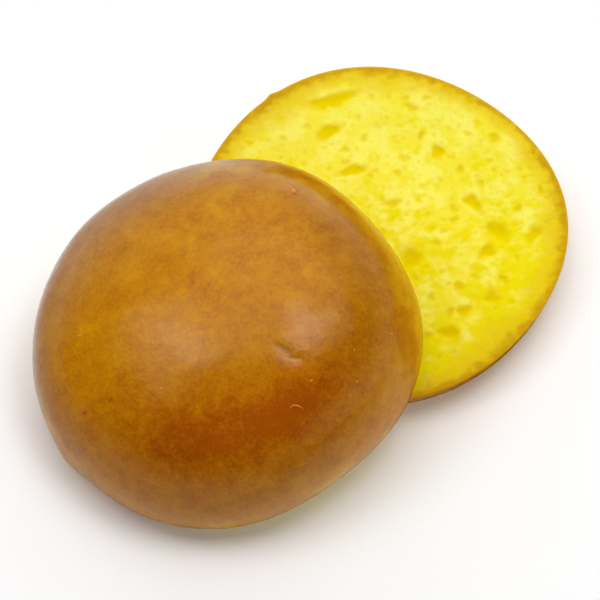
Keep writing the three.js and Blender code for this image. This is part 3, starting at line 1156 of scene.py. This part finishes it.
class BUN_OT_heel(bpy.types.Operator):
    """Make the heel: open crumb above, crust round the wall and under the base"""

    bl_idname = "bun.make_heel"
    bl_label = "Make heel"

    def execute(self, context):
        sizes = context.scene.bun_heel
        share, direction = disc_grid(GRID_CELLS)
        offset = heel_offset(direction)
        bubbles = heel_bubbles(sizes.radius)
        rim = sizes.radius + offset
        face, values = cut_face(rim, direction, share, sizes.thickness, 1, bubbles, HEEL_SEED)
        values["shade"] = heel_shade(rim, direction, share, context.scene.bun_crown.lean_direction)
        radius, height = by_length(*heel_section(sizes), share)
        wall = turned(radius * (1 + offset / sizes.radius), height, direction)
        bare = turned(radius * (1 + wave_offset(HEEL_WAVES, direction) / sizes.radius), height, direction)
        middle = np.array(HEEL_BOX[0]) - bare.reshape(-1, 3).min(axis=0)
        lift = height / sizes.thickness
        fade = smooth_step(HEEL_FADE_IN * lift) * smooth_step(HEEL_FADE_OUT * (1 - lift))
        relief = fade * layered_noise(wall, CRUST_RELIEF, HEEL_SEED + CRUST_SEED_STEP)
        wall = wall - surface_normals(wall) * relief[..., None]
        crust, crumb = bun_materials()
        crust_values = {
            "browning": HEEL_BASE_BROWNING + HEEL_WALL_BROWNING * lift,
            "tone": np.ones_like(lift),
        }
        attributes = bun_attributes(values, crust_values, True)
        half_bun("heel_bread", "heel", face + middle, wall + middle, [crumb, crust], attributes)
        return {"FINISHED"}


class BUN_OT_crown(bpy.types.Operator):
    """Make the crown: glossy domed crust above, open crumb below, leaning on the heel"""

    bl_idname = "bun.make_crown"
    bl_label = "Make crown"

    def execute(self, context):
        sizes = context.scene.bun_crown
        bare, direction, share = crown_crust(sizes)
        matrix, shift = crown_place(sizes)
        dome = bare + surface_normals(bare) * crown_relief(sizes, bare)[..., None]
        rim_radius = sizes.radius - sizes.cut_inset
        rim = rim_radius * (1 + crown_offset(direction, 0.0) / sizes.radius)
        face, values = cut_face(rim, direction, share, 0.0, -1, crown_bubbles(rim_radius), CROWN_SEED)
        values["shade"] = np.zeros_like(share)
        crust_values = {
            "browning": crown_browning(sizes, bare, direction),
            "tone": crown_shade_and_tone(sizes, bare, direction),
        }
        attributes = bun_attributes(values, crust_values, False)
        upper, lower = dome @ matrix.T + shift, face @ matrix.T + shift
        half_bun("crown_bread", "crown", upper, lower, bun_materials(), attributes)
        return {"FINISHED"}


class BUN_OT_flecks(bpy.types.Operator):
    """Make the flecks of crumb and flour that stick to the crown"""

    bl_idname = "bun.make_flecks"
    bl_label = "Make flecks"

    def execute(self, context):
        sizes = context.scene.bun_crown
        matrix, shift = crown_place(sizes)
        all_points, all_faces, count = [], [], 0
        for direction, polar, length, width, height, turn, curl in FLECKS:
            centre, down, along, out = dome_place(sizes, math.radians(direction), math.radians(polar))
            centre = centre + out * crown_relief(sizes, centre)
            measures = (length * MM, width * MM, height * MM, math.radians(turn), curl)
            points, faces, _, _ = glued(*fleck_grids(centre, down, along, out, *measures))
            all_points.append(points @ matrix.T + shift)
            all_faces.append(faces + count)
            count += len(points)
        points, faces = np.concatenate(all_points), np.concatenate(all_faces)
        material = shared_material("dry fleck", fleck_material)
        piece = mesh_object("flecks", points, faces, np.zeros(len(faces)), [material], {})
        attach(piece, BODY)
        return {"FINISHED"}


class BUN_OT_stage(bpy.types.Operator):
    """Set the table, the soft panels over it, the dim room and the camera"""

    bl_idname = "bun.set_stage"
    bl_label = "Set stage"

    def execute(self, context):
        settings = context.scene.bun_stage
        self.set_table()
        self.set_panels(settings)
        self.set_room(settings)
        self.set_camera(settings)
        context.scene.view_settings.view_transform = "Standard"
        return {"FINISHED"}

    def set_table(self):
        """A plain pale table top, wider than the camera reaches.

        The crust doesn't mirror it, but a sheet just above it that nothing else sees and that fades out
        beyond the heel, in front and to either side.
        """
        table = self.square("table", 0.0, table_material("white table", 1.0, TABLE_GLOW))
        table.visible_glossy = False
        material = table_material("mirrored table", mirrored_share, mirrored_glow)
        sheet = self.square("mirrored_table", SHEET_LIFT, material)
        sheet.visible_camera = False
        sheet.visible_diffuse = False
        sheet.visible_shadow = False

    def square(self, name, height, material):
        """A level square of the stage."""
        sides = TABLE_HALF * np.array([(-1, -1), (1, -1), (1, 1), (-1, 1)])
        corners = np.column_stack([sides, np.full(len(sides), height)])
        piece = mesh_object(name, corners, np.array([[0, 1, 2, 3]]), [0], [material], {})
        return piece

    def set_panels(self, settings):
        """A wide dim panel overhead, a bright and a dimmer one to each side, and one to fill in.

        Each hangs a little higher than the one before, so that no two share a plane.
        """
        for n, (name, x, y, wide, deep, turn, radiance, mirrored) in enumerate(PANELS):
            light = bpy.data.lights.new(name, "AREA")
            light.shape = "RECTANGLE"
            light.size = wide * settings.lamp_height
            light.size_y = deep * settings.lamp_height
            light.energy = PANEL_POWER * light.size * light.size_y * radiance * settings.brightness
            lamp = bpy.data.objects.new(name, light)
            lamp.location = settings.lamp_height * np.array([x, y, 1 + PANEL_STEP * n])
            lamp.rotation_euler.z = math.radians(turn)
            lamp.visible_glossy = mirrored
            bpy.context.scene.collection.objects.link(lamp)

    def set_room(self, settings):
        """A room that is bright low behind the bun, dimmer beside it, faint in front and dark below."""
        world = bpy.data.worlds.new("room")
        bpy.context.scene.world = world
        world.use_nodes = True
        tree = world.node_tree
        tree.nodes.clear()
        x, y, z = add_node(tree, "ShaderNodeSeparateXYZ", {"Vector": object_coordinates(tree)}).outputs
        glow = compute(tree, "MULTIPLY", eased(tree, z, *GLOW_Z), eased(tree, x, *GLOW_X))
        far_wall = compute(tree, "MULTIPLY_ADD", glow, FAR_WALL_GLOW, FAR_WALL)
        behind = compute(tree, "MULTIPLY", eased(tree, y, *BEHIND_Y), far_wall)
        beside = compute(tree, "MULTIPLY", eased(tree, z, *BESIDE_LOW_Z), eased(tree, z, *BESIDE_HIGH_Z))
        beside = compute(tree, "MULTIPLY", eased(tree, x, *BESIDE_X), beside)
        over_heel = compute(tree, "MULTIPLY", eased(tree, x, *OVER_HEEL_X), eased(tree, y, *OVER_HEEL_Y))
        raised = eased(tree, compute(tree, "MULTIPLY_ADD", y, OVER_HEEL_SLOPE, z), *OVER_HEEL_TOP)
        kept = compute(tree, "MAXIMUM", raised, compute(tree, "SUBTRACT", 1.0, over_heel))
        walls = compute(tree, "MULTIPLY", compute(tree, "MAXIMUM", behind, beside), kept)
        skirt = compute(tree, "MULTIPLY", eased(tree, y, *SKIRT_Y), eased(tree, z, *SKIRT_Z))
        walls = compute(tree, "ADD", walls, compute(tree, "ADD", skirt, DIMMEST))
        above = eased(tree, z, *HORIZON_Z, to_high=settings.brightness)
        strength = compute(tree, "MULTIPLY", walls, above)
        inputs = {"Color": (1.0, 1.0, 1.0, 1.0), "Strength": strength}
        shader = add_node(tree, "ShaderNodeBackground", inputs)
        add_node(tree, "ShaderNodeOutputWorld", {"Surface": shader.outputs["Background"]})

    def set_camera(self, settings):
        """A long lens that looks down at the table from the front."""
        data = bpy.data.cameras.new("camera")
        data.lens = data.sensor_width * settings.distance / settings.view_width
        data.clip_end = CAMERA_REACH
        camera = bpy.data.objects.new("camera", data)
        back = np.array([0.0, -math.cos(settings.elevation), math.sin(settings.elevation)])
        camera.location = np.array(settings.aim) + settings.distance * back
        camera.rotation_euler = (math.pi / 2 - settings.elevation, 0.0, 0.0)
        bpy.context.scene.collection.objects.link(camera)
        bpy.context.scene.camera = camera


GROUPS = {
    "bun_heel": HeelSizes,
    "bun_crown": CrownSizes,
    "bun_colours": BunColours,
    "bun_stage": StageSettings,
}
STEPS = (BUN_OT_heel, BUN_OT_crown, BUN_OT_flecks, BUN_OT_stage)


class BUN_PT_panel(bpy.types.Panel):
    """Lists the bun's sizes, colours and steps"""

    bl_label = "Hamburger bun"
    bl_idname = "BUN_PT_panel"
    bl_space_type = "VIEW_3D"
    bl_region_type = "UI"
    bl_category = "Bun"

    def draw(self, context):
        for group_name, group in GROUPS.items():
            box = self.layout.box()
            for name in group.__annotations__:
                box.prop(getattr(context.scene, group_name), name)
        for step in STEPS:
            self.layout.operator(step.bl_idname)


def register():
    for cls in (*GROUPS.values(), *STEPS, BUN_PT_panel):
        bpy.utils.register_class(cls)
    for name, group in GROUPS.items():
        setattr(bpy.types.Scene, name, bpy.props.PointerProperty(type=group))


def unregister():
    for name in GROUPS:
        delattr(bpy.types.Scene, name)
    for cls in reversed((*GROUPS.values(), *STEPS, BUN_PT_panel)):
        bpy.utils.unregister_class(cls)


def main():
    """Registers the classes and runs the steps."""
    register()
    bpy.ops.bun.make_heel()
    bpy.ops.bun.make_crown()
    bpy.ops.bun.make_flecks()
    bpy.ops.bun.set_stage()


if __name__ == "__main__":
    main()
